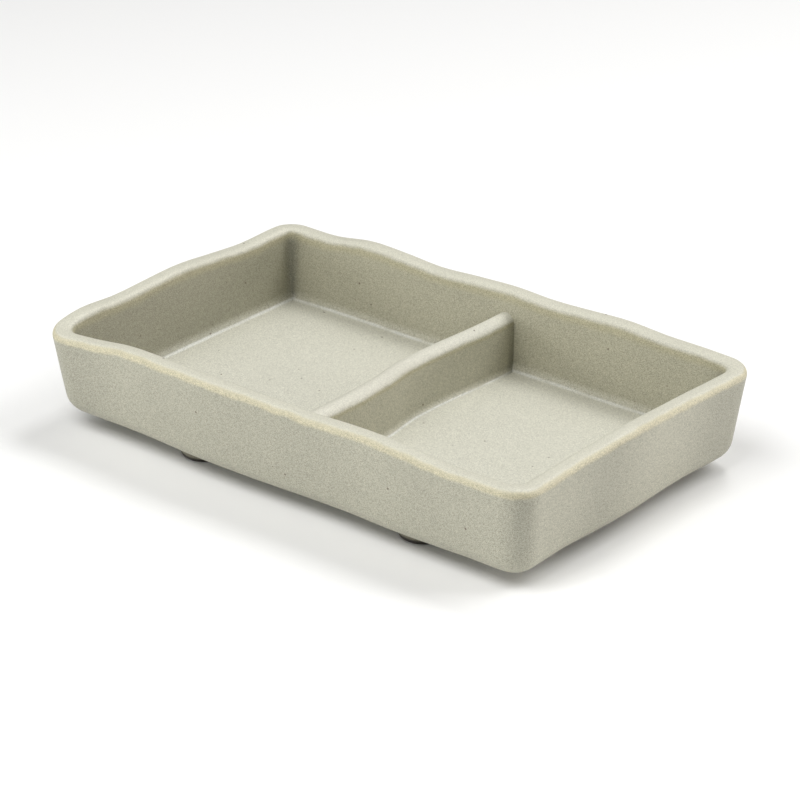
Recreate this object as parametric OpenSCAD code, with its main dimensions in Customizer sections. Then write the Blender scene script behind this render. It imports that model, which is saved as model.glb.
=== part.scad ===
// Divided sauce dish: a thick-walled oblong dish with a rippled rim, a divider across it and four feet.
// Millimetres. X runs along the dish, Y across it and Z up. The origin lies under the middle of the
// dish, on the surface that the feet stand on.
// The shell and the divider are each one skin of rings or rows of points, which functions work out
// from the sizes below, and the feet are turned shapes.

/* [Dish] */
// Length over the rim, without its ripples
dish_l = 150; // [120:1:200]
// Width over the rim, without its ripples
dish_w = 94; // [75:1:125]
// Height of the rim above the underside, without its ripples
body_h = 24.2; // [22:0.1:32]
// Thickness of the wall at the rim
wall_t = 5.2; // [4:0.1:6]
// Thickness of the floor
floor_t = 4.7; // [3.5:0.1:6.5]
// How far the outer wall leans in from rim to underside
outer_lean = 2.8; // [1:0.1:4]
// How far the inner wall leans in from rim to floor
inner_lean = 1.3; // [0.5:0.1:3]

/* [Corners and edges] */
// Corner radius of the outer wall at the rim
rim_corner_r = 7.5; // [7:0.1:10]
// Corner radius of the outer wall at the underside
base_corner_r = 6.8; // [6:0.1:9]
// Corner radius of the inner wall
inner_corner_r = 3.1; // [2.8:0.1:6]
// Rounding of the rim's two edges
rim_round_r = 1.8; // [1:0.1:1.9]
// Rounding between the outer wall and the underside
base_round_r = 4.9; // [3:0.1:6]
// Fillet between the inner wall and the floor
floor_fillet_r = 2.4; // [1.5:0.1:2.6]

/* [Ripples] */
// Height of a full ripple of the rim, up or down
rim_rise = 1; // [0:0.05:1.5]
// Depth of a full ripple of the walls, out or in
wall_bulge = 1; // [0:0.05:1.2]

/* [Divider] */
// Height of the divider's crest above the underside
crest_h = 19.1; // [14:0.1:21]
// Thickness of the divider under its round crest
divider_t = 5.2; // [4:0.1:7]
// How much wider the divider gets on each side from crest to floor
divider_lean = 0.4; // [0:0.05:1]
// Fillet between the divider and the floor
divider_fillet_r = 1.7; // [1:0.1:2.5]
// Distance of the divider from the dish's middle, towards the right
divider_shift = 2; // [-20:0.1:20]
// Sideways sway of the divider along its course
divider_sway = 1.1; // [0:0.05:2]
// Height of the thin edge that the divider's fillets end in
fillet_lip_t = 0.3; // [0.2:0.05:0.5]
// Gap of the slip seam between the divider's ends and the walls
seam_gap = 0.2; // [0.15:0.01:0.3]

/* [Feet] */
// Height of a foot
foot_h = 3.4; // [1.5:0.1:5]
// Radius of a foot's flat sole, with its rounded edge
sole_r = 6.2; // [3:0.1:7]
// Rounding of the sole's edge
sole_round_r = 1; // [0.4:0.1:1.2]
// Radius of a foot where it meets the underside
foot_root_r = 7.2; // [6.2:0.1:9]
// Distance from the dish's ends to the feet's middles, before their shift
foot_end_inset = 40.5; // [25:0.5:45]
// Distance of the feet from the dish's middle, towards the right
feet_shift = 1; // [-10:0.1:10]
// Bare rim of the flat underside that is left outside the feet
foot_margin = 0; // [0:0.1:6]

/* [Hidden] */

glaze_colour = [0.80, 0.80, 0.73];
divider_colour = [0.84, 0.83, 0.76];
clay_colour = [0.62, 0.55, 0.47];

// Steps of the skins: along a long side, a short side, a corner and a rounding
long_steps = 44;
short_steps = 28;
corner_steps = 8;
round_steps = 5;
course_steps = 30;
$fn = 96;

// Share of the walls' ripples that is left at the underside
base_bulge_share = 0.6;

// The rim's ups and downs, as shares of rim_rise at even steps round the rim. The first lies on the
// front left corner, and the list goes on along the front, the right side, the back and the left side.
rise_shares = [
    -1.1, -1.2, 0, 0.5, 0.7, 0.7, 0.5, 0.1, 0.5, 0.6, -0.2, -0.3,
    -0.3, -0.7, -0.3, 0.3, 0.8, 0.1, -0.5, -0.8,
    -0.6, 0, 0.3, 1, 0.6, 0.3, 0.6, 0.2, -0.3, 0.4, 0.6, -0.8,
    -0.6, -0.5, -0.9, -0.1, 0.8, 0.5, 0.1, 0.5
];
// The walls' outs and ins, as shares of wall_bulge at the same steps
bulge_shares = [
    0.4, -0.7, -1, -0.4, 0.3, 0.3, 0.1, -0.3, -0.3, -0.1, -0.2, 0.3,
    0, -0.4, -0.4, -0.1, 0.5, 0, -0.3, 0,
    0.5, 0.2, 0.1, 0.2, 0.1, 0, 0.1, 0, -0.1, 0, 0.2, -0.2,
    -0.6, -0.5, -0.3, 0.1, 0.2, 0.2, 0.2, 0.5
];
// The divider's course, as shares of divider_sway at even steps from the front wall to the back wall
sway_shares = [0.7, 0.9, 1, 0.9, 0.3, -0.8, -1, -0.7, -0.1, 0.3, 0.4];

// Angles that the leaning faces make with the vertical
outer_lean_angle = atan(outer_lean / body_h);
inner_lean_angle = atan(inner_lean / (body_h - floor_t));
divider_lean_angle = atan(divider_lean / (crest_h - floor_t));

// Smooth curve through shares at even steps: the value at step number t
function through(shares, t, before, after) =
    let (i = floor(t), f = t - i, a = shares[before(i - 1)], b = shares[before(i)],
         c = shares[after(i + 1)], d = shares[after(i + 2)])
    b + f / 2 * (c - a + f * (2 * a - 5 * b + 4 * c - d + f * (3 * (b - c) + d - a)));

// The same curve as a closed loop, at a share of one turn
function loop_curve(shares, turn_share) =
    let (n = len(shares), wrap = function (i) (i % n + n) % n)
    through(shares, turn_share * n, wrap, wrap);

// The same curve with two ends, at a share of its way
function open_curve(shares, way_share) =
    let (last = len(shares) - 1, hold = function (i) min(max(i, 0), last))
    through(shares, min(max(way_share, 0), 1) * last, hold, hold);

// A station is [corner, share of the corner's arc, share of the side that follows the corner].
// Corners 0 to 3 are front left, front right, back right and back left.
function side_steps(k) = k % 2 == 0 ? long_steps : short_steps;
stations = [
    for (k = [0:3]) each concat(
        [for (i = [0:corner_steps - 1]) [k, i / corner_steps, 0]],
        [for (i = [0:side_steps(k) - 1]) [k, 1, i / side_steps(k)]]
    )
];

// Where a station lies round the rim, as a share of one turn from the middle of the first corner
straight_l = dish_l - 2 * rim_corner_r;
straight_w = dish_w - 2 * rim_corner_r;
arc_l = PI / 2 * rim_corner_r;
turn_l = 2 * (straight_l + straight_w) + 4 * arc_l;
function side_l(k) = k % 2 == 0 ? straight_l : straight_w;
function corner_start(k) = k == 0 ? -arc_l / 2 : corner_start(k - 1) + arc_l + side_l(k - 1);
function turn_share(st) = (corner_start(st[0]) + st[1] * arc_l + st[2] * side_l(st[0])) / turn_l;

// Outward direction of a station, and the middle of a rounded oblong's corner
function outward(st) = let (a = 90 * (2 + st[0] + st[1])) [cos(a), sin(a)];
function corner_middle(k, half_l, half_w, r) =
    [(k % 4 == 1 || k % 4 == 2 ? 1 : -1) * (half_l - r), (k % 4 > 1 ? 1 : -1) * (half_w - r)];

// How far the walls' ripples reach out at a height above the underside
function bulge_at(turn, h) =
    wall_bulge * loop_curve(bulge_shares, turn) * (base_bulge_share + (1 - base_bulge_share) * h / body_h);

// A level is [inset from the rim's outline, height above the underside, corner radius, share of the
// rim's ripple]. Its ring has one point for each station.
function ring(level) =
    let (half_l = dish_l / 2 - level[0], half_w = dish_w / 2 - level[0], r = level[2])
    [
        for (st = stations)
            let (
                turn = turn_share(st),
                from = corner_middle(st[0], half_l, half_w, r),
                to = corner_middle(st[0] + 1, half_l, half_w, r),
                p = from + (to - from) * st[2] + outward(st) * (r + bulge_at(turn, level[1])),
                rise = level[3] * rim_rise * loop_curve(rise_shares, turn)
            )
            [p[0], p[1], foot_h + level[1] + rise]
    ];

// Insets of the two leaning faces at a height above the underside
function outer_inset(h) = outer_lean * (1 - h / body_h);
function inner_inset(h) = wall_t + inner_lean * (body_h - h) / (body_h - floor_t);

// Points of an arc in inset and height, from one angle to another, where 0 points outwards and 90 up
function arc(inset, h, r, from, to) =
    [for (i = [0:round_steps]) let (a = from + (to - from) * i / round_steps) [inset - r * cos(a), h + r * sin(a)]];

// The outer face's corner radius at a height, and the levels of a face with the corner radius at its
// leaning line. A point that lies further in has a tighter outer corner, or a tighter inner one.
function outer_corner_r(h) = base_corner_r + (rim_corner_r - base_corner_r) * h / body_h;
function outer_levels(points, rise_share) =
    [for (p = points) [p[0], p[1], outer_corner_r(p[1]) - (p[0] - outer_inset(p[1])), rise_share]];
function inner_levels(points, rise_share) =
    [for (p = points) [p[0], p[1], inner_corner_r - (p[0] - inner_inset(p[1])), rise_share]];

// Inset of the middle of the rounding to the underside, where the flat underside ends
base_flat_inset = outer_inset(base_round_r) + base_round_r / cos(outer_lean_angle);
rim_h = body_h - rim_round_r;
fillet_h = floor_t + floor_fillet_r;
shell_levels = concat(
    outer_levels(arc(base_flat_inset, base_round_r, base_round_r, -90, -outer_lean_angle), 0),
    outer_levels(arc(outer_inset(rim_h) + rim_round_r / cos(outer_lean_angle), rim_h,
        rim_round_r, -outer_lean_angle, 90), 1),
    inner_levels(arc(inner_inset(rim_h) - rim_round_r / cos(inner_lean_angle), rim_h,
        rim_round_r, 90, 180 - inner_lean_angle), 1),
    inner_levels(arc(inner_inset(fillet_h) + floor_fillet_r / cos(inner_lean_angle), fillet_h,
        floor_fillet_r, -inner_lean_angle, -90), 0)
);

// Faces between neighbouring rings of n points, each clockwise seen from outside
function band_faces(rings, n) = [
    for (i = [0:rings - 2], j = [0:n - 1])
        let (a = i * n + j, b = i * n + (j + 1) % n)
        each [[a, a + n, b + n], [a, b + n, b]]
];

// One skin from the underside's middle over the rim to the floor's middle
module dish_shell() {
    n = len(stations);
    rings = len(shell_levels);
    last = (rings - 1) * n;
    points = [for (level = shell_levels) each ring(level)];
    middles = [[0, 0, foot_h], [0, 0, foot_h + floor_t]];
    caps = [for (j = [0:n - 1]) each [[rings * n, j, (j + 1) % n], [rings * n + 1, last + (j + 1) % n, last + j]]];
    color(glaze_colour) polyhedron(concat(points, middles), concat(band_faces(rings, n), caps));
}

// Inset of the inner face at a height, with its fillet to the floor
function bowl_inset(h) =
    h >= fillet_h
    ? inner_inset(h)
    : inner_inset(h) + floor_fillet_r - sqrt(max(pow(floor_fillet_r, 2) - pow(fillet_h - h, 2), 0));

// Where the front face (side -1) or the back face (side 1) of the bowl lies at x and a height
function bowl_y(side, x, h) =
    let (
        half_straight = dish_l / 2 - inner_inset(h) - inner_corner_r,
        turn = turn_share([side + 1, 1, (1 - side * x / half_straight) / 2])
    )
    side * (dish_w / 2 - bowl_inset(h) + bulge_at(turn, h));

// The divider's middle line at a share of its way from front to back
function course(way) = divider_shift + divider_sway * open_curve(sway_shares, way);

// Half section of the divider as [distance from its middle line, height], from the floor to the crest
crest_r = divider_t / 2;
crest_middle_h = crest_h - crest_r;
function divider_half_w(h) = crest_r / cos(divider_lean_angle) + (crest_middle_h - h) * tan(divider_lean_angle);
foot_fillet_h = floor_t + fillet_lip_t + divider_fillet_r;
foot_fillet_x = divider_half_w(foot_fillet_h) + divider_fillet_r / cos(divider_lean_angle);
half_section = concat(
    [[foot_fillet_x, floor_t]],
    [
        for (i = [0:round_steps])
            let (a = 270 - (90 - divider_lean_angle) * i / round_steps)
            [foot_fillet_x + divider_fillet_r * cos(a), foot_fillet_h + divider_fillet_r * sin(a)]
    ],
    [
        for (i = [0:round_steps])
            let (a = divider_lean_angle + (90 - divider_lean_angle) * i / round_steps)
            [crest_r * cos(a), crest_middle_h + crest_r * sin(a)]
    ]
);
half_n = len(half_section);
// The whole section, up the left side and down the right side
section = concat(
    [for (p = half_section) [-p[0], p[1]]],
    [for (i = [half_n - 2:-1:0]) half_section[i]]
);

// One skin of rows that run from the front wall to the back wall, closed by a strip at each end
module divider() {
    n = len(section);
    points = [
        for (i = [0:course_steps], p = section)
            let (
                way = i / course_steps,
                x = course(way) + p[0],
                front = bowl_y(-1, x, p[1]) + seam_gap,
                back = bowl_y(1, x, p[1]) - seam_gap
            )
            [x, front + (back - front) * way, foot_h + p[1]]
    ];
    last = course_steps * n;
    ends = [
        for (k = [0:half_n - 2])
            let (l = k, r = n - 1 - k)
            each concat(
                [[l, l + 1, r], [last + l, last + r, last + l + 1]],
                r - 1 > l + 1 ? [[l + 1, r - 1, r], [last + l + 1, last + r, last + r - 1]] : []
            )
    ];
    color(divider_colour) polyhedron(points, concat(band_faces(course_steps + 1, n), ends));
}

// The feet's middles, whose roots stay on the flat underside, and the height of their flare
foot_x = dish_l / 2 - foot_end_inset;
foot_y = dish_w / 2 - base_flat_inset - foot_root_r - foot_margin;
flare_h = foot_h - sole_round_r;

// A foot's outline: the flat sole, its rounded edge and the flare that meets the underside
module foot(side_x, side_y) {
    outline = concat(
        [[0, 0]],
        [
            for (i = [0:round_steps])
                let (a = -90 + 90 * i / round_steps)
                [sole_r - sole_round_r + sole_round_r * cos(a), sole_round_r + sole_round_r * sin(a)]
        ],
        [
            for (i = [1:round_steps])
                let (a = 180 - 90 * i / round_steps)
                [sole_r + (foot_root_r - sole_r) * (1 + cos(a)), sole_round_r + flare_h * sin(a)]
        ],
        [[0, foot_h]]
    );
    middle = [feet_shift + side_x * foot_x, side_y * foot_y, 0];
    color(clay_colour) translate(middle) rotate_extrude() polygon(outline);
}

dish_shell();
divider();
foot(-1, -1);  // foot_front_left
foot(1, -1);  // foot_front_right
foot(-1, 1);  // foot_back_left
foot(1, 1);  // foot_back_right
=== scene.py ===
"""Looks of a divided sauce dish: thick rippled walls, a swaying divider, four nub feet, matt glaze.

Metres, with X along the dish, Y across it and Z up. The dish stands on Z = 0, with the middle of its
length and width at the origin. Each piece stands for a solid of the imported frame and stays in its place.
"""

from __future__ import annotations

import logging
import math
from collections.abc import Iterable, Sequence
from dataclasses import dataclass
from enum import Enum
from typing import Any

import bmesh
import bpy
from mathutils import Matrix, Vector, noise

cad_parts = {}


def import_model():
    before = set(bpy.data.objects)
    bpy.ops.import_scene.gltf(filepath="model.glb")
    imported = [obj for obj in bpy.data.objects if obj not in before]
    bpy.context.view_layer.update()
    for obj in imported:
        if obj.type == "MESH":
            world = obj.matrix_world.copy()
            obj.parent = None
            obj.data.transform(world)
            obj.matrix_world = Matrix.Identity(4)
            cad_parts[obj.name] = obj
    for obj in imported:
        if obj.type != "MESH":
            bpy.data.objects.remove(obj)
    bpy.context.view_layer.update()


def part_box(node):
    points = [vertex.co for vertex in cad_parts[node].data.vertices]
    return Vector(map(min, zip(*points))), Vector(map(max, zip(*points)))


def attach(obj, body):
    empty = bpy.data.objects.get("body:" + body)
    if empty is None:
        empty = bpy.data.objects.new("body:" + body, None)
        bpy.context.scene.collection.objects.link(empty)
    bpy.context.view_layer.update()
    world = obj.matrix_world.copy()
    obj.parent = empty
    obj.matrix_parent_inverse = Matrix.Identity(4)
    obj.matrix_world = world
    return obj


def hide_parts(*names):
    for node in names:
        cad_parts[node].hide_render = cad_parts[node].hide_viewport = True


log = logging.getLogger("divided_dish")

BODY = "root"
HAND_SEED = 7
ROUND_PROFILE = 0.5
SAME_MATERIAL = -1
CUT_REACH = 1e-7

# Numbers of the colour sockets of a Mix node
MIX_SHARE, MIX_FIRST, MIX_SECOND, MIX_RESULT = 0, 6, 7, 2

Colour = tuple[float, float, float]
Span = tuple[float, float]


def mm(value: float) -> float:
    """Returns millimetres as metres."""
    return value / 1000


def mm_span(low: float, high: float) -> Span:
    """Returns a span of millimetres as metres."""
    return mm(low), mm(high)


def clamp(value: float, low: float = 0.0, high: float = 1.0) -> float:
    """Returns the value, held between low and high."""
    return min(max(value, low), high)


def ease(value: float, low: float, high: float) -> float:
    """Returns a smooth step of the value, from 0 at low to 1 at high."""
    part = clamp((value - low) / (high - low))
    return part * part * (3 - 2 * part)


class Side(Enum):
    """The dish's four sides, in the order in which a turn round the rim passes them."""

    FRONT = 0
    RIGHT = 1
    BACK = 2
    LEFT = 3


class Corner(Enum):
    """The dish's four corners, as their side of X and their side of Y."""

    FRONT_LEFT = (-1, -1)
    FRONT_RIGHT = (1, -1)
    BACK_LEFT = (-1, 1)
    BACK_RIGHT = (1, 1)

    @property
    def words(self) -> str:
        """The corner's name in small letters."""
        return self.name.lower()


class Slot(Enum):
    """The record's material slots."""

    SHELL = "shell_glaze"
    DIVIDER = "divider_glaze"
    FOOT = "foot_clay"


class Mark(Enum):
    """Measures that a mesh carries, so that the glaze can follow its edges, creases and walls, painted shade
    can fill its corners and painted light and shade can band its walls.
    """

    ACROSS_RIM = "across_rim"
    FROM_CREASE = "from_crease"
    # Weight of the painted shade in the upright corners.
    IN_CORNER = "in_corner"
    # Painted light and shade in bands along the walls.
    WALL_SHADE = "wall_shade"


@dataclass(frozen=True)
class ShareCurve:
    """A smooth curve through shares at even steps.

    Attributes:
        shares: The values that the curve goes through.
        closed: Whether it is a loop, or else has two ends.
    """

    shares: tuple[float, ...]
    closed: bool

    def _share(self, step: int) -> float:
        """Returns the share at a step, round the loop or held at the ends."""
        count = len(self.shares)
        return self.shares[step % count if self.closed else int(clamp(step, 0, count - 1))]

    def at(self, way: float) -> float:
        """Reads the curve.

        Args:
            way: Share of the whole way.

        Returns:
            The curve's value there.
        """
        count = len(self.shares)
        run = way * count if self.closed else clamp(way) * (count - 1)
        step = math.floor(run)
        part = run - step
        a, b, c, d = (self._share(step + k) for k in (-1, 0, 1, 2))
        bend = 2 * a - 5 * b + 4 * c - d + part * (3 * (b - c) + d - a)
        return b + part / 2 * (c - a + part * bend)


@dataclass(frozen=True)
class DishPlan:
    """Sizes and ripples that the shell, the divider and the feet share.

    Heights are measured from the underside, and insets from the rim's outline without its ripples. The
    curves run once round the dish, from the middle of its front left corner past the front. Rises lift
    the rim, bulges push the wall out, lifts raise its lower edge and wall shades give painted light (above
    0) or painted shade (below 0) in bands along the walls.
    """

    underside: float
    length: float = mm(150)
    width: float = mm(94)
    height: float = mm(24.2)
    wall: float = mm(5.2)
    floor: float = mm(4.7)
    outer_lean: float = mm(2.8)
    inner_lean: float = mm(1.3)
    rim_corner_r: float = mm(7.5)
    base_corner_r: float = mm(6.8)
    inner_corner_r: float = mm(3.1)
    rim_round_r: float = mm(1.8)
    base_round_r: float = mm(4.9)
    floor_fillet_r: float = mm(2.4)
    rim_rise: float = mm(1)
    wall_bulge: float = mm(1)
    base_bulge_share: float = 0.6
    base_lift: float = mm(1)
    lift_insets: Span = mm_span(4.5, 9)
    lift_heights: Span = mm_span(2, 14)
    ripple_fade: float = mm(9)
    # Reach of the painted shade in the bowl's upright corners.
    corner_reach: float = mm(3.8)
    hand_depth: float = mm(0.14)
    hand_length: float = mm(17)
    rises: ShareCurve = ShareCurve(
        (
            -1.1, -1.2, 0, 0.5, 0.7, 0.7, 0.5, 0.1, 0.5, 0.6, -0.2, -0.3,
            -0.3, -0.7, -0.3, 0.3, 0.8, 0.1, -0.5, -0.8,
            -0.6, 0, 0.3, 1, 0.6, 0.3, 0.6, 0.2, -0.3, 0.4, 0.6, -0.8,
            -0.6, -0.5, -0.9, -0.1, 0.8, 0.5, 0.1, 0.5,
        ),
        closed=True,
    )
    bulges: ShareCurve = ShareCurve(
        (
            0.4, -0.7, -1, -0.4, 0.3, 0.3, 0.1, -0.3, -0.3, -0.1, -0.2, 0.3,
            0, -0.4, -0.4, -0.1, 0.5, 0, -0.3, 0,
            0.5, 0.2, 0.1, 0.2, 0.1, 0, 0.1, 0, -0.1, 0, 0.2, -0.2,
            -0.6, -0.5, -0.3, 0.1, 0.2, 0.2, 0.2, 0.5,
        ),
        closed=True,
    )
    lifts: ShareCurve = ShareCurve(
        (
            1.1, 0.7, 0.6, 0.4, 0.2, 0.25, 0.2, 0.3, 0.4, 0.1, 0, 0.45,
            0.2, 0, 0.25, -0.1, -0.05, 0.1, 0, -0.2,
            0.1, 0.2, 0.1, -0.1, 0.1, 0.3, 0.2, 0, 0.1, 0.3, 0.1, 0,
            0.2, 0.1, -0.1, 0.1, 0.3, 0.2, 0.5, 0.8,
        ),
        closed=True,
    )
    # Painted light (above 0) and painted shade (below 0) in bands along the walls, round the dish.
    wall_shades: ShareCurve = ShareCurve(
        (
            -0.7, -0.7, 0, -0.2, -0.2, -0.3, -0.2, -0.5, -0.2, 0, -0.4, -0.2,
            0, 0.8, 0.5, -0.4, 0.4, 0.9, 0.4, -0.6,
            -0.2, 0.2, 0, 0, 0, 0, 0, 0, 0, 0, 0, 0,
            0, -0.6, -1, -1.2, -1.3, -1.4, -1.5, -1.3,
        ),
        closed=True,
    )

    @property
    def half_straight(self) -> tuple[float, float]:
        """Half of the rim's straight run along X and along Y."""
        return self.length / 2 - self.rim_corner_r, self.width / 2 - self.rim_corner_r

    @property
    def outer_angle(self) -> float:
        """Angle between the outer wall and the vertical."""
        return math.atan(self.outer_lean / self.height)

    @property
    def inner_angle(self) -> float:
        """Angle between the inner wall and the vertical."""
        return math.atan(self.inner_lean / (self.height - self.floor))

    @property
    def crease_inset(self) -> float:
        """Inset of the crease between the inner wall and the floor, without its fillet."""
        return self.wall + self.inner_lean

    def inner_inset(self, height: float) -> float:
        """Returns the inner wall's inset at a height, without its fillet."""
        return self.wall + self.inner_lean * (self.height - height) / (self.height - self.floor)

    def bowl_inset(self, height: float) -> float:
        """Returns the inner wall's inset at a height, with its fillet to the floor."""
        below = clamp(self.floor + self.floor_fillet_r - height, 0, self.floor_fillet_r)
        reach = self.floor_fillet_r - math.sqrt(self.floor_fillet_r**2 - below**2)
        return self.inner_inset(height) + reach

    def in_corner(self, x: float, y: float, inset: float, reach: float, lean: float = 0.0) -> float:
        """Works out how near a place lies to an upright corner.

        Args:
            x: Place along the dish.
            y: Place across the dish.
            inset: How far the corner's walls lie inside the rim's outline.
            reach: How far from the walls' sharp corner its painted shade reaches.
            lean: How far the painted shade is moved from the long wall towards the short one.

        Returns:
            1 at the sharp corner, and 0 out of its reach.
        """
        away_x = self.length / 2 - inset - abs(x) + lean
        away_y = self.width / 2 - inset - abs(y) - lean
        return 1 - ease(max(away_x, away_y), 0, reach)

    def _past_corner(self, x: float, y: float) -> tuple[float, float]:
        """Returns how far a place lies past the rim's corner middle, along X and along Y."""
        along, across = self.half_straight
        return abs(x) - along, abs(y) - across

    def inset(self, x: float, y: float) -> float:
        """Returns how far a place lies inside the rim's outline."""
        past_x, past_y = self._past_corner(x, y)
        if past_x > 0 and past_y > 0:
            return self.rim_corner_r - math.hypot(past_x, past_y)
        return self.rim_corner_r - max(past_x, past_y)

    def outward(self, x: float, y: float) -> Vector:
        """Returns the direction in which the wall nearest to a place faces."""
        past_x, past_y = self._past_corner(x, y)
        side_x, side_y = math.copysign(1, x), math.copysign(1, y)
        if past_x > 0 and past_y > 0:
            return Vector((side_x * past_x, side_y * past_y, 0)).normalized()
        return Vector((side_x, 0, 0)) if past_x > past_y else Vector((0, side_y, 0))

    def turn(self, x: float, y: float) -> float:
        """Works out where a place lies round the rim.

        Args:
            x: Place along the dish.
            y: Place across the dish.

        Returns:
            Share of one turn, from the middle of the front left corner past the front.
        """
        along, across = self.half_straight
        facing = self.outward(x, y)
        start = -3 * math.pi / 4
        angle = (math.atan2(facing.y, facing.x) - start) % math.tau
        passed = self.rim_corner_r * angle
        ways = {Side.FRONT: along + x, Side.RIGHT: across + y, Side.BACK: along - x, Side.LEFT: across - y}
        for side, way in ways.items():
            straight = 2 * (along if side in (Side.FRONT, Side.BACK) else across)
            side_angle = (side.value + 0.5) * math.pi / 2
            if math.isclose(angle, side_angle, abs_tol=CUT_REACH):
                passed += clamp(way, 0, straight)
            elif angle > side_angle:
                passed += straight
        return passed / (4 * (along + across) + math.tau * self.rim_corner_r)

    def bulge(self, x: float, y: float, height: float) -> float:
        """Returns how far the ripples push the wall out at a place and height."""
        share = self.base_bulge_share + (1 - self.base_bulge_share) * height / self.height
        return self.wall_bulge * self.bulges.at(self.turn(x, y)) * share

    def rise(self, x: float, y: float) -> float:
        """Returns how far the ripples lift the rim at a place."""
        return self.rim_rise * self.rises.at(self.turn(x, y))

    def lift(self, x: float, y: float, height: float) -> float:
        """Works out how far the ripples lift the wall's lower edge.

        Args:
            x: Place along the dish.
            y: Place across the dish.
            height: Height above the underside, up which the lift fades out.

        Returns:
            How far the place is lifted.
        """
        edge = 1 - ease(self.inset(x, y), *self.lift_insets)
        low = 1 - ease(height, *self.lift_heights)
        return self.base_lift * self.lifts.at(self.turn(x, y)) * edge * low

    def wall_shade(self, x: float, y: float) -> float:
        """Returns the painted light (above 0) or painted shade (below 0) on the wall nearest to a place."""
        return self.wall_shades.at(self.turn(x, y))

    def bowl_y(self, side: int, x: float, height: float) -> float:
        """Returns where the bowl's front face (side -1) or back face (side 1) lies."""
        inset = self.bowl_inset(height)
        return side * (self.width / 2 - inset + self.bulge(x, side * self.width / 2, height))

    def hand(self, place: Vector) -> Vector:
        """Returns the soft unevenness that pressing by hand leaves at a place."""
        return noise.noise_vector(place / self.hand_length) * self.hand_depth


def rounding_reach(radius: float, turned: float) -> float:
    """Returns how far a rounding reaches along its two faces, which turn by an angle."""
    return radius * math.tan(turned / 2)


def bevel(form: bmesh.types.BMesh, geom: Sequence[Any], reach: float, steps: int, affect: str) -> None:
    """Rounds edges or corners.

    Args:
        form: The mesh.
        geom: Edges or vertices to round.
        reach: How far the rounding reaches along the faces or edges beside them.
        steps: Segments of the rounding.
        affect: "EDGES" or "VERTICES".
    """
    bmesh.ops.bevel(
        form, geom=geom, offset=reach, offset_type="OFFSET", affect=affect,
        segments=steps, profile=ROUND_PROFILE, material=SAME_MATERIAL,
    )


def cut(form: bmesh.types.BMesh, axis: Vector, places: Iterable[float]) -> None:
    """Cuts all faces by planes square to an axis, at places along it."""
    for place in places:
        bmesh.ops.bisect_plane(
            form, geom=form.verts[:] + form.edges[:] + form.faces[:],
            dist=CUT_REACH, plane_co=axis * place, plane_no=axis,
        )


def even_places(reach: float, step: float) -> list[float]:
    """Returns places at even steps of about the given length, from -reach to reach."""
    count = max(round(2 * reach / step), 1)
    return [reach * (2 * k / count - 1) for k in range(count + 1)]


def finish_piece(form: bmesh.types.BMesh, name: str, material: bpy.types.Material) -> bpy.types.Object:
    """Turns a form into a smooth, dressed object at the origin.

    Args:
        form: The finished mesh, which is freed.
        name: The piece's name.
        material: Its finish.

    Returns:
        The new object.
    """
    bmesh.ops.remove_doubles(form, verts=form.verts, dist=CUT_REACH)
    bmesh.ops.recalc_face_normals(form, faces=form.faces)
    for face in form.faces:
        face.smooth = True
    mesh = bpy.data.meshes.new(name)
    form.to_mesh(mesh)
    form.free()
    mesh.materials.append(material)
    piece = bpy.data.objects.new(name, mesh)
    bpy.context.scene.collection.objects.link(piece)
    return piece


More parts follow.
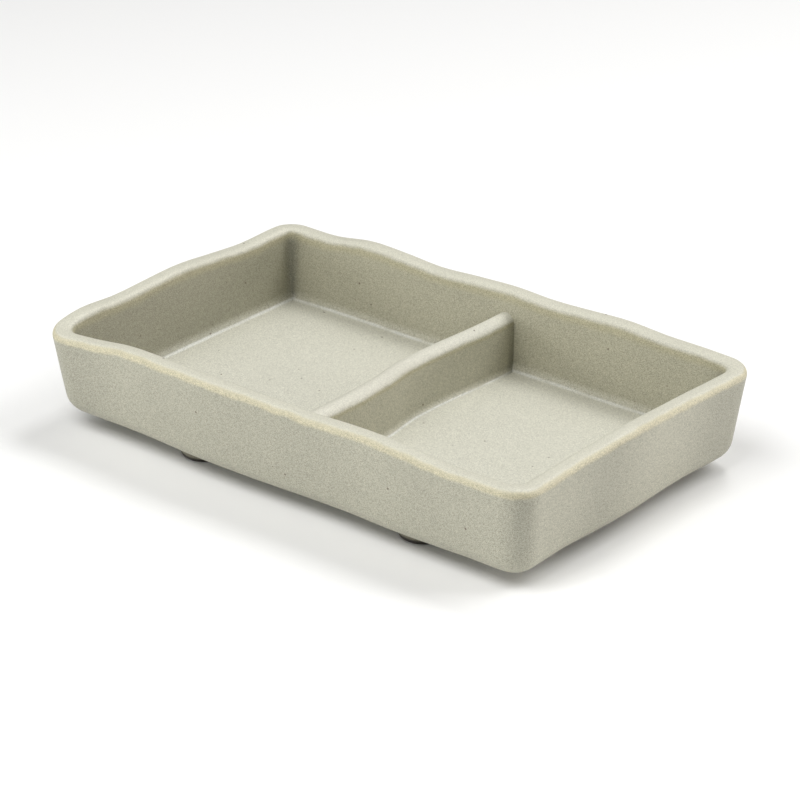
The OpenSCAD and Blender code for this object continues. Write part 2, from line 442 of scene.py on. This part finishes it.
@dataclass(frozen=True)
class DishShell:
    """The dish's one-piece shell: underside, outer wall, rim, inner wall and floor."""

    plan: DishPlan
    corner_steps: int = 14
    round_steps: int = 8
    column_step: float = mm(1.5)
    row_step: float = mm(2.8)
    # Painted corner shade: its share left at the top of the inner corners, its strength on the outer corners
    # and its lean there.
    corner_shade_top_share: float = 0.65
    outer_corner_shade_share: float = 0.4
    outer_corner_shade_lean: float = mm(1.5)
    node: str = "dish_shell"
    name: str = "shell_body"

    def _outline(self, form: bmesh.types.BMesh, inset: float, corner_r: float,
                 height: float) -> bmesh.types.BMFace:
        """Makes a rounded oblong face.

        Args:
            form: The mesh that it joins.
            inset: How far it lies inside the rim's outline.
            corner_r: Radius of its corners.
            height: Its height above the underside.

        Returns:
            The new face.
        """
        size = Matrix.Diagonal((self.plan.length - 2 * inset, self.plan.width - 2 * inset, 1, 1))
        place = Matrix.Translation((0, 0, height)) @ size
        made = bmesh.ops.create_grid(form, x_segments=1, y_segments=1, size=0.5, matrix=place)
        before = set(form.faces) - {face for vert in made["verts"] for face in vert.link_faces}
        bevel(form, made["verts"], corner_r, self.corner_steps, "VERTICES")
        return next(face for face in form.faces if face not in before)

    def _skin(self, form: bmesh.types.BMesh) -> None:
        """Makes the shell with plain straight walls and rounded edges."""
        plan = self.plan
        base = self._outline(form, plan.outer_lean, plan.base_corner_r, 0)
        rim_out = self._outline(form, 0, plan.rim_corner_r, plan.height)
        rim_in = self._outline(form, plan.wall, plan.inner_corner_r, plan.height)
        floor = self._outline(form, plan.crease_inset, plan.inner_corner_r, plan.floor)
        loops = [face.edges[:] for face in (base, rim_out, rim_in, floor)]
        bmesh.ops.delete(form, geom=[rim_out, rim_in], context="FACES_ONLY")
        for lower, upper in zip(loops, loops[1:]):
            bmesh.ops.bridge_loops(form, edges=lower + upper)
        bmesh.ops.recalc_face_normals(form, faces=form.faces)
        square = math.pi / 2
        roundings = [
            (plan.base_round_r, square - plan.outer_angle),
            (plan.rim_round_r, square + plan.outer_angle),
            (plan.rim_round_r, square - plan.inner_angle),
            (plan.floor_fillet_r, square - plan.inner_angle),
        ]
        for loop, (radius, turned) in zip(loops, roundings):
            bevel(form, loop, rounding_reach(radius, turned), self.round_steps, "EDGES")

    def _cut_up(self, form: bmesh.types.BMesh) -> None:
        """Cuts the long faces, so that they can follow the ripples."""
        plan = self.plan
        edge = plan.crease_inset + plan.inner_corner_r
        cut(form, Vector((1, 0, 0)), even_places(plan.length / 2 - edge, self.column_step))
        cut(form, Vector((0, 1, 0)), even_places(plan.width / 2 - edge, self.column_step))
        low, high = plan.floor + plan.floor_fillet_r, plan.height - 2 * plan.rim_round_r
        count = round((high - low) / self.row_step)
        cut(form, Vector((0, 0, 1)), [low + (high - low) * k / count for k in range(count + 1)])

    def _outside(self, inset: float, height: float) -> bool:
        """Returns whether a place of the plain shell is on its outer wall, outer rim or underside."""
        return inset < self.plan.wall / 2 or height < self.plan.floor - CUT_REACH

    def _away(self, inset: float) -> float:
        """Returns how far from the walls a place on the floor or the underside is, from 0 to 1."""
        return ease(inset, self.plan.crease_inset, self.plan.crease_inset + self.plan.ripple_fade)

    def _mark(self, form: bmesh.types.BMesh) -> None:
        """Writes each vertex's way across the rim and from the crease, its painted corner shade and its
        painted light and shade along the walls.
        """
        plan = self.plan
        across, crease, corner, wall_shade = (form.verts.layers.float.new(mark.value) for mark in Mark)
        for vert in form.verts:
            x, y, height = vert.co
            inset = plan.inset(x, y)
            depth = plan.height - height
            outside = self._outside(inset, height)
            vert[across] = depth - min(inset, plan.wall) if outside else -depth - inset
            vert[crease] = plan.height if outside else (height - plan.floor) - (inset - plan.crease_inset)
            # Painted shade in the upright corners, inside the bowl and, weaker, on the outer corners, fading
            # up the walls and gone at the rim.
            raised = clamp((height - plan.floor) / (plan.height - plan.floor))
            share = 1 - (1 - self.corner_shade_top_share) * raised
            below_rim = ease(depth, plan.rim_round_r / 2, 2 * plan.rim_round_r)
            if outside:
                outer_shade = plan.in_corner(x, y, 0, plan.rim_corner_r, self.outer_corner_shade_lean)
                vert[corner] = outer_shade * self.outer_corner_shade_share * below_rim
            else:
                vert[corner] = plan.in_corner(x, y, plan.crease_inset, plan.corner_reach) * share * below_rim
            # Painted light and shade in bands along the walls, fading out across the underside.
            vert[wall_shade] = plan.wall_shade(x, y) * (1 - self._away(inset) if outside else 1)

    def _ripple(self, form: bmesh.types.BMesh) -> None:
        """Moves the plain shell's vertices by the ripples and lifts it to its place."""
        plan = self.plan
        for vert in form.verts:
            x, y, height = vert.co
            inset = plan.inset(x, y)
            outside = self._outside(inset, height)
            low = plan.base_round_r if outside else plan.floor + plan.floor_fillet_r
            lifted = clamp((height - low) / (plan.height - plan.rim_round_r - low))
            vert.co += plan.outward(x, y) * plan.bulge(x, y, height) * (1 - self._away(inset))
            vert.co.z += plan.underside + lifted * plan.rise(x, y)
            if outside:
                vert.co.z += plan.lift(x, y, height)
            if height > CUT_REACH:
                vert.co += plan.hand(vert.co)

    def build(self, material: bpy.types.Material) -> bpy.types.Object:
        """Builds the shell.

        Args:
            material: The glaze that it wears.

        Returns:
            The shell's object.
        """
        form = bmesh.new()
        self._skin(form)
        self._cut_up(form)
        self._mark(form)
        self._ripple(form)
        piece = finish_piece(form, self.name, material)
        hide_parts(self.node)
        return piece


@dataclass(frozen=True)
class Divider:
    """The wall across the dish: a round crest, leaning sides and fillets to the floor, with its ends sunk
    into the walls.
    """

    plan: DishPlan
    crest: float = mm(19.1)
    thickness: float = mm(5.2)
    lean: float = mm(0.4)
    fillet_r: float = mm(1.7)
    shift: float = mm(2)
    sway: float = mm(1.1)
    sunk: float = mm(0.4)
    end_reach: float = mm(3.2)
    # Strength of the painted shade on the divider's sides where they meet the walls.
    end_shade_share: float = 0.7
    fillet_sunk: float = mm(0.03)
    # How fast the crest's pale band of thin glaze and painted highlight narrows below the crest.
    crest_fade: float = 2
    crest_round_share: float = 0.495
    crest_steps: int = 12
    fillet_steps: int = 8
    end_steps: int = 6
    column_step: float = mm(1.5)
    node: str = "divider"
    name: str = "divider_wall"
    course: ShareCurve = ShareCurve((0.7, 0.9, 1, 0.9, 0.3, -0.8, -1, -0.7, -0.1, 0.3, 0.4), closed=False)

    @property
    def span(self) -> float:
        """Length between the walls at the crest, without ripples, with both sunk ends."""
        return self.plan.width - 2 * self.plan.inner_inset(self.crest) + 2 * self.sunk

    @property
    def foot_half(self) -> float:
        """Half of the thickness at the floor, without the fillets."""
        return self.thickness / 2 + self.lean

    def _section(self, form: bmesh.types.BMesh) -> bmesh.types.BMFace:
        """Makes the section at the front end, with round crest and fillets, and returns its face."""
        plan = self.plan
        lean_angle = math.atan(self.lean / (self.crest - plan.floor))
        lip = plan.floor - self.fillet_sunk
        reach = self.foot_half + 2 * self.fillet_r
        half = [
            (reach, plan.floor - self.sunk),
            (reach, lip),
            (self.foot_half, lip),
            (self.thickness / 2, self.crest),
        ]
        corners = half + [(-x, z) for x, z in reversed(half)]
        verts = [form.verts.new((x, -self.span / 2, z)) for x, z in corners]
        form.faces.new(verts)
        creases, tops = [verts[2], verts[5]], [verts[3], verts[4]]
        crease_reach = rounding_reach(self.fillet_r, math.pi / 2 - lean_angle)
        bevel(form, creases, crease_reach, self.fillet_steps, "VERTICES")
        bevel(form, tops, self.thickness * self.crest_round_share, self.crest_steps, "VERTICES")
        (section,) = form.faces
        return section

    def _run(self, form: bmesh.types.BMesh) -> None:
        """Draws the section out from the front wall to the back wall, and cuts it into rows."""
        face = self._section(form)
        drawn = bmesh.ops.extrude_face_region(form, geom=[face], use_keep_orig=True)
        moved = [item for item in drawn["geom"] if isinstance(item, bmesh.types.BMVert)]
        bmesh.ops.translate(form, vec=(0, self.span, 0), verts=moved)
        near = [self.sunk + self.end_reach * k / self.end_steps for k in range(self.end_steps + 1)]
        ends = [side * (self.span / 2 - way) for side in (-1, 1) for way in near]
        middle = even_places(self.span / 2 - near[-1] - self.column_step, self.column_step)
        cut(form, Vector((0, 1, 0)), sorted(ends + middle))
        bmesh.ops.recalc_face_normals(form, faces=form.faces)

    def _mark(self, form: bmesh.types.BMesh) -> None:
        """Writes each vertex's way below the crest and from the crease, and its painted shade by the walls.
        """
        plan = self.plan
        across, crease, corner, _ = (form.verts.layers.float.new(mark.value) for mark in Mark)
        for vert in form.verts:
            depth = self.crest - vert.co.z
            way_in = self.span / 2 - self.sunk - abs(vert.co.y)
            vert[across] = -self.crest_fade * depth - plan.wall / 2
            way_out = (vert.co.z - plan.floor) - (abs(vert.co.x) - self.foot_half)
            vert[crease] = way_out * plan.floor_fillet_r / self.fillet_r
            at_end = 1 - ease(way_in, 0, self.end_reach)
            # Painted shade on the divider's sides near the walls.
            vert[corner] = self.end_shade_share * ease(depth, 0, self.thickness) * at_end

    def _lay(self, form: bmesh.types.BMesh) -> None:
        """Lays the straight divider along its course, between the rippled walls."""
        plan = self.plan
        for vert in form.verts:
            way = vert.co.y / self.span + 0.5
            x = self.shift + self.sway * self.course.at(way) + vert.co.x
            height = vert.co.z
            front = plan.bowl_y(-1, x, height) - self.sunk + self.span / 2
            back = plan.bowl_y(1, x, height) + self.sunk - self.span / 2
            y = vert.co.y + front * (1 - way) + back * way
            vert.co = Vector((x, y, plan.underside + height))
            vert.co += plan.hand(vert.co)

    def build(self, material: bpy.types.Material) -> bpy.types.Object:
        """Builds the divider.

        Args:
            material: The glaze that it wears.

        Returns:
            The divider's object.
        """
        form = bmesh.new()
        self._run(form)
        self._mark(form)
        self._lay(form)
        piece = finish_piece(form, self.name, material)
        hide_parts(self.node)
        return piece


@dataclass(frozen=True)
class Foot:
    """A nub foot: a flat sole with a rounded edge, and a flare that runs into the underside."""

    plan: DishPlan
    corner: Corner
    sole_r: float = mm(6.2)
    sole_round_r: float = mm(1)
    root_r: float = mm(7.2)
    sunk: float = mm(0.3)
    sides: int = 64
    flare_steps: int = 8
    round_steps: int = 6

    @property
    def node(self) -> str:
        """Name of the solid that the foot stands for."""
        return f"foot_{self.corner.words}"

    @property
    def name(self) -> str:
        """Name of the foot's own piece."""
        return f"{self.corner.words}_foot"

    def _draw_down(self, form: bmesh.types.BMesh, face: bmesh.types.BMFace, radius: float, height: float,
                   middle: Vector) -> bmesh.types.BMFace:
        """Draws a foot's lowest face down.

        Args:
            form: The foot's mesh.
            face: Its lowest face, a round one.
            radius: Radius of the new lowest face.
            height: Height of the new lowest face above the ground.
            middle: A place on the foot's axis.

        Returns:
            The new lowest face.
        """
        old_r = (face.verts[0].co.xy - middle.xy).length
        drawn = bmesh.ops.extrude_discrete_faces(form, faces=[face])
        (lowest,) = drawn["faces"]
        centre = lowest.calc_center_median()
        share = radius / old_r
        bmesh.ops.scale(form, vec=(share, share, 1), space=Matrix.Translation(-centre), verts=lowest.verts)
        bmesh.ops.translate(form, vec=(0, 0, height - centre.z), verts=lowest.verts)
        return lowest

    def build(self, material: bpy.types.Material) -> bpy.types.Object:
        """Builds the foot over its solid.

        Args:
            material: Its finish: bare clay on the sole, and painted shade and a painted contact shadow above
                it.

        Returns:
            The foot's object.
        """
        low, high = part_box(self.node)
        middle = (low + high) / 2
        form = bmesh.new()
        top = Matrix.Translation((middle.x, middle.y, high.z + self.sunk))
        bmesh.ops.create_circle(form, cap_ends=True, segments=self.sides, radius=self.root_r, matrix=top)
        (lid,) = form.faces
        drawn = bmesh.ops.extrude_face_region(form, geom=[lid], use_keep_orig=True)
        moved = [item for item in drawn["geom"] if isinstance(item, bmesh.types.BMVert)]
        bmesh.ops.translate(form, vec=(0, 0, -self.sunk), verts=moved)
        lowest = next(face for face in form.faces if all(vert in moved for vert in face.verts))
        flare_h = high.z - self.sole_round_r
        for step in range(1, self.flare_steps + 1):
            angle = math.pi / 2 * step / self.flare_steps
            radius = self.sole_r + (self.root_r - self.sole_r) * (1 - math.sin(angle))
            height = self.sole_round_r + flare_h * math.cos(angle)
            lowest = self._draw_down(form, lowest, radius, height, middle)
        lowest = self._draw_down(form, lowest, self.sole_r, low.z, middle)
        bevel(form, lowest.edges[:], self.sole_round_r, self.round_steps, "EDGES")
        piece = finish_piece(form, self.name, material)
        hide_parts(self.node)
        return piece


class Value:
    """A number that a material's nodes work out, with the usual operators."""

    def __init__(self, sheet: Sheet, socket: bpy.types.NodeSocket) -> None:
        """Wraps an output socket of the sheet."""
        self.sheet = sheet
        self.socket = socket

    def _maths(self, operation: str, first: Value | float, second: Value | float) -> Value:
        """Returns the result of a new Math node."""
        node = self.sheet.node("ShaderNodeMath", {"operation": operation}, {0: first, 1: second})
        return Value(self.sheet, node.outputs[0])

    def __add__(self, other: Value | float) -> Value:
        """Returns self + other."""
        return self._maths("ADD", self, other)

    def __radd__(self, other: float) -> Value:
        """Returns other + self."""
        return self._maths("ADD", other, self)

    def __sub__(self, other: Value | float) -> Value:
        """Returns self - other."""
        return self._maths("SUBTRACT", self, other)

    def __rsub__(self, other: float) -> Value:
        """Returns other - self."""
        return self._maths("SUBTRACT", other, self)

    def __mul__(self, other: Value | float) -> Value:
        """Returns self * other."""
        return self._maths("MULTIPLY", self, other)

    def __rmul__(self, other: float) -> Value:
        """Returns other * self."""
        return self._maths("MULTIPLY", other, self)

    def __abs__(self) -> Value:
        """Returns the value without its sign."""
        return self._maths("ABSOLUTE", self, 0.0)

    def ease(self, low: float, high: float) -> Value:
        """Returns a smooth step of the value, from 0 at low to 1 at high."""
        node = self.sheet.node(
            "ShaderNodeMapRange", {"interpolation_type": "SMOOTHSTEP"},
            {"Value": self, "From Min": low, "From Max": high},
        )
        return Value(self.sheet, node.outputs["Result"])


class Sheet:
    """A material and its nodes."""

    def __init__(self, name: str) -> None:
        """Makes a material with an empty node tree."""
        self.material = bpy.data.materials.new(name)
        self.material.use_nodes = True
        self.tree = self.material.node_tree
        self.tree.nodes.clear()
        self._place = self.node("ShaderNodeTexCoord").outputs["Object"]

    def node(self, kind: str, settings: dict[str, Any] | None = None,
             values: dict[str | int, Any] | None = None) -> bpy.types.Node:
        """Makes a node.

        Args:
            kind: The node's type.
            settings: Its settings, which are set first.
            values: Values or links of its input sockets, by name or number.

        Returns:
            The new node.
        """
        made = self.tree.nodes.new(kind)
        for key, setting in (settings or {}).items():
            setattr(made, key, setting)
        for key, value in (values or {}).items():
            socket = made.inputs[key]
            if isinstance(value, Value):
                value = value.socket
            if isinstance(value, bpy.types.NodeSocket):
                self.tree.links.new(value, socket)
            elif isinstance(value, tuple) and socket.type == "RGBA":
                socket.default_value = (*value, 1)
            else:
                socket.default_value = value
        return made

    def mark(self, mark: Mark) -> Value:
        """Returns a measure that the mesh carries."""
        node = self.node("ShaderNodeAttribute", {"attribute_name": mark.value})
        return Value(self, node.outputs["Fac"])

    def height(self) -> Value:
        """Returns the height above the ground."""
        node = self.node("ShaderNodeSeparateXYZ", values={0: self._place})
        return Value(self, node.outputs["Z"])

    def cloud(self, length: float) -> Value:
        """Returns soft noise of about 0 to 1, whose blotches have a length."""
        node = self.node("ShaderNodeTexNoise", values={"Vector": self._place, "Scale": 1 / length})
        return Value(self, node.outputs["Fac"])

    def grains(self, length: float) -> Value:
        """Returns a chance number from 0 to 1 for each of many small grains of a length."""
        cells = self.node("ShaderNodeTexVoronoi", values={"Vector": self._place, "Scale": 1 / length})
        split = self.node("ShaderNodeSeparateColor", values={0: cells.outputs["Color"]})
        return Value(self, split.outputs[0])

    def specks(self, spacing: float, radius: float, kept: float) -> Value:
        """Makes scattered round specks.

        Args:
            spacing: Length of the cells that hold one speck each.
            radius: Radius of the largest specks.
            kept: Share of the cells whose speck is kept.

        Returns:
            1 in a speck and 0 elsewhere.
        """
        cells = self.node("ShaderNodeTexVoronoi", values={"Vector": self._place, "Scale": 1 / spacing})
        distance = Value(self, cells.outputs["Distance"])
        split = self.node("ShaderNodeSeparateColor", values={0: cells.outputs["Color"]})
        chance = Value(self, split.outputs[0])
        reach = radius / spacing
        return (1 - distance.ease(reach / 2, reach)) * chance.ease(1 - kept, 1 - kept / 2)

    def mix(self, share: Value | float, first: Any, second: Any) -> bpy.types.NodeSocket:
        """Returns the first colour where the share is 0 and the second where it is 1."""
        values = {MIX_SHARE: share, MIX_FIRST: first, MIX_SECOND: second}
        return self.node("ShaderNodeMix", {"data_type": "RGBA"}, values).outputs[MIX_RESULT]

    def scaled(self, colour: Any, by: Value) -> bpy.types.NodeSocket:
        """Returns a colour times a number."""
        node = self.node("ShaderNodeVectorMath", {"operation": "SCALE"}, {0: colour, "Scale": by})
        return node.outputs[0]

    def finish(self, shader: dict[str, Any], bump: Value, depth: float) -> bpy.types.Material:
        """Puts the shader together.

        Args:
            shader: Values or links of the shader's sockets.
            bump: Height of the fine relief, from 0 to 1.
            depth: The relief's depth.

        Returns:
            The finished material.
        """
        relief = self.node("ShaderNodeBump", values={"Height": bump, "Distance": depth})
        surface = self.node("ShaderNodeBsdfPrincipled", values={**shader, "Normal": relief.outputs[0]})
        self.node("ShaderNodeOutputMaterial", values={"Surface": surface.outputs[0]})
        return self.material


@dataclass(frozen=True)
class Glaze:
    """Matt sage-cream glaze with a fine grain and a few iron specks.

    It is thin and pale on the rim, partly as painted light on its top, and breaks to tan under the rim's
    outer edge. A painted highlight pales the divider's crest and painted light pales the floor; painted
    shade darkens the floor near the walls and the upright corners, inside and out, a painted sheen lines the
    crease round the floor, and painted light and shade lie in bands along the walls. Tones come and go
    smoothly over
    spans: the rim's start and the stain's from the rim's inner edge, outwards and inwards, the rim's end and
    the break's from its outer edge, and the floor's and the sheen's upwards from the foot of the fillet
    round the floor.
    """

    name: str
    body: Colour = (0.393, 0.383, 0.303)
    inside: Colour = (0.395, 0.38, 0.285)
    # Floor: the same glaze made paler, as painted light on its upward face.
    lit_floor: Colour = (0.60, 0.59, 0.50)
    # Rim and crest: paler thin glaze, and partly a painted highlight on their lit tops.
    thin_glaze_and_highlight: Colour = (0.585, 0.572, 0.475)
    broken: Colour = (0.54, 0.495, 0.33)
    stained: Colour = (0.42, 0.385, 0.235)
    # Painted sheen along the crease round the floor.
    crease_sheen: Colour = (0.68, 0.685, 0.64)
    # Painted shade in the upright corners.
    deep: Colour = (0.12, 0.12, 0.09)
    iron: Colour = (0.13, 0.10, 0.07)
    roughness: float = 0.48
    rim_width: float = mm(5.2)
    rim_start: Span = mm_span(-1.6, 0.4)
    rim_end: Span = mm_span(-0.6, 0.9)
    break_start: Span = mm_span(-1.3, -0.1)
    break_end: Span = mm_span(0.9, 2)
    break_share: float = 0.75
    stain_start: Span = mm_span(-4, -2)
    stain_end: Span = mm_span(-1.6, 0)
    stain_share: float = 0.5
    crease_width: float = mm(1.2)
    floor_edge: Span = mm_span(0, 0.6)
    # Painted shade on the floor near the walls: less of the floor's painted light is laid there.
    floor_fade: Span = mm_span(-8, 5)
    floor_fade_share: float = 0.35
    # Span, patch size and strength of the painted crease sheen.
    sheen_edge: Span = mm_span(0.2, 1)
    sheen_patch_length: float = mm(9)
    sheen_patches: Span = (0.2, 0.6)
    sheen_share: float = 0.7
    corner_shade_share: float = 0.85
    wobble: float = mm(1.4)
    wobble_length: float = mm(6)
    sheen_wobble_share: float = 0.3
    grain_length: float = mm(0.15)
    grain_share: float = 0.65
    rim_calm: float = 0.5
    floor_calm: float = 0.25
    speck_spacing: float = mm(4.5)
    speck_r: float = mm(0.37)
    specks_kept: float = 0.55
    speck_share: float = 0.95
    # Strength of the painted light and shade in bands along the walls.
    wall_shade_share: float = 0.13
    drift_length: float = mm(35)
    drift_share: float = 0.08
    relief: float = mm(0.04)
    relief_lengths: Span = mm_span(0.6, 1.8)

    def toned(self, sheet: Sheet, colour: Any, grit: Value | float) -> bpy.types.NodeSocket:
        """Dresses a colour with the glaze's grain, slow drift and iron specks.

        Args:
            sheet: The material.
            colour: The colour that is dressed.
            grit: How strong the grain is, from 0 to 1.

        Returns:
            The dressed colour.
        """
        drift = sheet.cloud(self.drift_length)
        grain = (sheet.grains(self.grain_length) - 0.5) * grit
        tone = grain * self.grain_share + (drift - 0.5) * self.drift_share + 1
        specks = sheet.specks(self.speck_spacing, self.speck_r, self.specks_kept)
        return sheet.mix(specks * self.speck_share, sheet.scaled(colour, tone), self.iron)

    def edged(self, sheet: Sheet) -> tuple[bpy.types.NodeSocket, Value]:
        """Lays the glaze's colours, and its painted light and shade, along the marks that the mesh carries.

        Args:
            sheet: The material.

        Returns:
            The colour, and how strong the grain is, which the rim and the floor calm.
        """
        wobble = (sheet.cloud(self.wobble_length) - 0.5) * self.wobble
        across = sheet.mark(Mark.ACROSS_RIM) + wobble
        inner = across + self.rim_width
        outer = inner.ease(*self.rim_start)
        rim = outer * (1 - across.ease(*self.rim_end))
        breaking = across.ease(*self.break_start) * (1 - across.ease(*self.break_end))
        stain = inner.ease(*self.stain_start) * (1 - inner.ease(*self.stain_end))
        foot = sheet.mark(Mark.FROM_CREASE) + self.crease_width
        # Painted sheen along the crease round the floor, in patches.
        patches = sheet.cloud(self.sheen_patch_length).ease(*self.sheen_patches)
        sheen = (1 - abs(foot + wobble * self.sheen_wobble_share).ease(*self.sheen_edge)) * patches
        # The floor's share of painted light, with less of it near the walls as painted shade.
        sharp, faded = 1 - foot.ease(*self.floor_edge), 1 - foot.ease(*self.floor_fade)
        floor = sharp * (1 - self.floor_fade_share) + faded * self.floor_fade_share
        colour = sheet.mix(outer, self.inside, self.body)
        # Bands of painted light and shade along the walls.
        colour = sheet.scaled(colour, sheet.mark(Mark.WALL_SHADE) * self.wall_shade_share + 1)
        colour = sheet.mix(stain * self.stain_share, colour, self.stained)
        # Painted light on the floor.
        colour = sheet.mix(floor, colour, self.lit_floor)
        # Thin pale glaze on the rim, and a painted highlight on its top and the divider's crest.
        colour = sheet.mix(rim, colour, self.thin_glaze_and_highlight)
        colour = sheet.mix(breaking * self.break_share, colour, self.broken)
        # Painted sheen in the crease.
        colour = sheet.mix(sheen * self.sheen_share, colour, self.crease_sheen)
        # Painted shade in the upright corners.
        colour = sheet.mix(sheet.mark(Mark.IN_CORNER) * self.corner_shade_share, colour, self.deep)
        return colour, 1 - rim * self.rim_calm - floor * self.floor_calm

    def finish(self, sheet: Sheet, colour: Any, grit: Value | float = 1.0) -> bpy.types.Material:
        """Gives a colour the glaze's grain and matt skin.

        Args:
            sheet: The material.
            colour: Its colour.
            grit: How strong the grain is, from 0 to 1.

        Returns:
            The finished material.
        """
        skin = {"Base Color": self.toned(sheet, colour, grit), "Roughness": self.roughness}
        fine, broad = (sheet.cloud(length) for length in self.relief_lengths)
        return sheet.finish(skin, fine * 0.5 + broad * 0.5, self.relief)

    def material(self) -> bpy.types.Material:
        """Returns the glaze as a material."""
        sheet = Sheet(self.name)
        colour, grit = self.edged(sheet)
        return self.finish(sheet, colour, grit)


@dataclass(frozen=True)
class FootFinish:
    """Painted shade on a foot's flare, a dark band of painted contact shadow at its foot and bare buff clay
    on the sole.
    """

    name: str
    glaze: Glaze
    # Painted shade on the foot's flare.
    shaded_flare: Colour = (0.20, 0.185, 0.14)
    clay: Colour = (0.32, 0.265, 0.2)
    # Painted contact shadow low on the foot.
    contact_shadow: Colour = (0.025, 0.02, 0.015)
    shadow_band: Span = mm_span(0.9, 1.5)
    wobble: float = mm(0.5)
    wobble_length: float = mm(2.5)
    sole: Span = mm_span(0.02, 0.1)

    def material(self) -> bpy.types.Material:
        """Returns the finish as a material."""
        sheet = Sheet(self.name)
        height = sheet.height() + (sheet.cloud(self.wobble_length) - 0.5) * self.wobble
        # A band of painted contact shadow low on the foot, over painted shade on the flare.
        shadow_band = 1 - height.ease(*self.shadow_band)
        sole = 1 - sheet.height().ease(*self.sole)
        colour = sheet.mix(shadow_band, self.shaded_flare, self.contact_shadow)
        colour = sheet.mix(sole, colour, self.clay)
        return self.glaze.finish(sheet, colour)


def direction(azimuth: float, elevation: float) -> Vector:
    """Returns the way towards a place round the dish.

    Args:
        azimuth: Degrees round the dish, from 0 in front of it to 90 at its right.
        elevation: Degrees above the ground.

    Returns:
        A vector of length 1.
    """
    around, above = math.radians(azimuth), math.radians(elevation)
    level = math.cos(above)
    return Vector((math.sin(around) * level, -math.cos(around) * level, math.sin(above)))


@dataclass(frozen=True)
class Lamp:
    """A soft square light that faces the dish."""

    name: str
    azimuth: float
    elevation: float
    size: float
    power: float
    colour: Colour = (1, 1, 1)
    distance: float = 1

    def place(self) -> None:
        """Adds the lamp to the scene."""
        light = bpy.data.lights.new(self.name, "AREA")
        light.shape = "SQUARE"
        light.size = self.size
        light.energy = self.power
        light.color = self.colour
        lamp = bpy.data.objects.new(self.name, light)
        back = direction(self.azimuth, self.elevation)
        lamp.location = back * self.distance
        lamp.rotation_euler = back.to_track_quat("Z", "Y").to_euler()
        bpy.context.scene.collection.objects.link(lamp)


@dataclass(frozen=True)
class PhotoCamera:
    """A long lens from the dish's front right, as in the photograph.

    The lens and the sensor are in millimetres, as a camera takes them.
    """

    underside: float
    azimuth: float = 39.2
    elevation: float = 25.1
    distance: float = mm(853)
    aside: float = mm(1.2)
    above: float = mm(8.13)
    lens: float = 155.25
    sensor: float = 36

    def place(self) -> None:
        """Adds the camera and makes it the scene's own."""
        data = bpy.data.cameras.new("camera")
        data.lens = self.lens
        data.sensor_width = self.sensor
        camera = bpy.data.objects.new("camera", data)
        back = direction(self.azimuth, self.elevation)
        turned = back.to_track_quat("Z", "Y")
        shift = Vector((self.aside, self.above, self.distance))
        camera.location = turned @ shift + Vector((0, 0, self.underside))
        camera.rotation_euler = turned.to_euler()
        bpy.context.scene.collection.objects.link(camera)
        bpy.context.scene.camera = camera


@dataclass(frozen=True)
class Studio:
    """A pale floor under soft overhead light."""

    floor_size: float = 12
    floor_colour: Colour = (0.93, 0.93, 0.92)
    floor_roughness: float = 0.9
    floor_drift_length: float = 0.3
    floor_drift_share: float = 0.01
    sky_colour: Colour = (1, 1, 1)
    sky_strength: float = 0.02
    lamps: tuple[Lamp, ...] = (
        Lamp("front_light", azimuth=0, elevation=60, size=0.6, power=5),
        Lamp("left_light", azimuth=315, elevation=45, size=0.6, power=2.7),
        Lamp("back_right_light", azimuth=135, elevation=45, size=0.6, power=5.2),
        Lamp("back_light", azimuth=180, elevation=65, size=0.25, power=2.4),
        Lamp("front_card", azimuth=325, elevation=10, size=0.25, power=2.4),
        Lamp("front_right_card", azimuth=15, elevation=10, size=0.25, power=1.1),
        Lamp("right_card", azimuth=130, elevation=10, size=0.25, power=2.4, colour=(1, 0.94, 0.95)),
    )

    def _floor(self) -> None:
        """Lays the floor."""
        form = bmesh.new()
        bmesh.ops.create_grid(form, x_segments=1, y_segments=1, size=self.floor_size / 2)
        sheet = Sheet("pale_floor")
        drift = sheet.cloud(self.floor_drift_length)
        colour = sheet.scaled(self.floor_colour, (drift - 0.5) * self.floor_drift_share + 1)
        material = sheet.finish({"Base Color": colour, "Roughness": self.floor_roughness}, drift, 0.0)
        finish_piece(form, "studio_floor", material)

    def _sky(self) -> None:
        """Lights the scene evenly from all round."""
        world = bpy.data.worlds.new("soft_sky")
        world.use_nodes = True
        background = world.node_tree.nodes["Background"]
        background.inputs["Color"].default_value = (*self.sky_colour, 1)
        background.inputs["Strength"].default_value = self.sky_strength
        bpy.context.scene.world = world

    def build(self) -> None:
        """Sets up the floor, the sky and the lamps."""
        self._floor()
        self._sky()
        for lamp in self.lamps:
            lamp.place()
        scene = bpy.context.scene
        scene.view_settings.view_transform = "Standard"


def main() -> None:
    """Builds the dish around its frame, dresses it and sets up the studio."""
    logging.basicConfig(level=logging.INFO, format="%(name)s: %(message)s")
    noise.seed_set(HAND_SEED)
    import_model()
    plan = DishPlan(underside=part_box("dish_shell")[0].z)
    PhotoCamera(plan.underside).place()
    Studio().build()
    shell_glaze = Glaze("shell_glaze")
    # The divider's sides and crest are painted paler than the shell's walls and rim, as painted light.
    divider_glaze = Glaze("divider_glaze", inside=(0.425, 0.41, 0.312), thin_glaze_and_highlight=(0.61, 0.596, 0.505))
    foot_material = FootFinish("foot_clay", shell_glaze).material()
    pieces = [
        DishShell(plan).build(shell_glaze.material()),
        Divider(plan).build(divider_glaze.material()),
        *(Foot(plan, corner).build(foot_material) for corner in Corner),
    ]
    for piece in pieces:
        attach(piece, BODY)
        log.info("%s: %d vertices, %d faces", piece.name, len(piece.data.vertices), len(piece.data.polygons))


if __name__ == "__main__":
    main()
